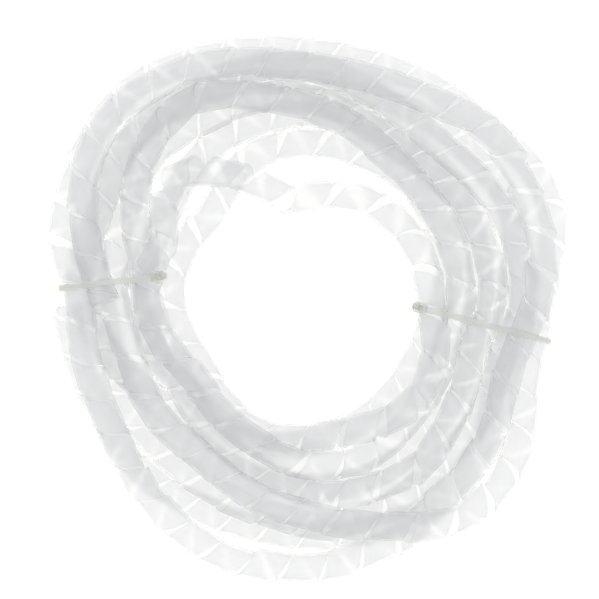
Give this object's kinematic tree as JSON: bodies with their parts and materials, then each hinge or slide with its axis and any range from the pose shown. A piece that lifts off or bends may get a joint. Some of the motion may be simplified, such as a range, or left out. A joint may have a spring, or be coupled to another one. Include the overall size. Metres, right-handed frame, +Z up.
{
  "type": "tree guard tube",
  "caption": "Flat hand-wound coil of spiral-cut translucent plastic tree guard tube, gathered on two sides by nylon cable ties.",
  "frame": {"origin": "middle of the coil's box on the plane it lies on", "axes": "+Z up out of the flat coil, +Y from the loose near strands to the far side, -X towards the left tie and the tube's cut end"},
  "size_m": [0.2164, 0.2294, 0.0488],
  "materials": {
    "polyethylene": "natural milky translucent polyethylene, smooth with fine extrusion lines",
    "nylon": "natural translucent nylon, satin"
  },
  "bodies": {
    "coil": {"tube_turn_1": "polyethylene", "tube_turn_2": "polyethylene", "tube_turn_3": "polyethylene", "tube_turn_4": "polyethylene", "tube_turn_5": "polyethylene", "tube_turn_6": "polyethylene", "tube_turn_7": "polyethylene", "tube_turn_8": "polyethylene", "tube_turn_9": "polyethylene", "left_tie_strap": "nylon", "left_tie_head": "nylon", "right_tie_strap": "nylon", "right_tie_head": "nylon"},
    "left_pawl": {"left_tie_pawl": "nylon"},
    "right_pawl": {"right_tie_pawl": "nylon"}
  },
  "joints": [
    {"name": "left_pawl_flex", "type": "hinge", "parent": "coil", "child": "left_pawl", "pos_m": [-0.06411, 0.01306, 0.04248], "axis": [0.1149, -0.9934, 0], "range_deg": [0, 10], "stiffness_Nm_per_rad": 0.002},
    {"name": "right_pawl_flex", "type": "hinge", "parent": "coil", "child": "right_pawl", "pos_m": [0.04812, -0.00005, 0.03468], "axis": [0.2538, 0.9673, 0], "range_deg": [0, 10], "stiffness_Nm_per_rad": 0.002}
  ]
}
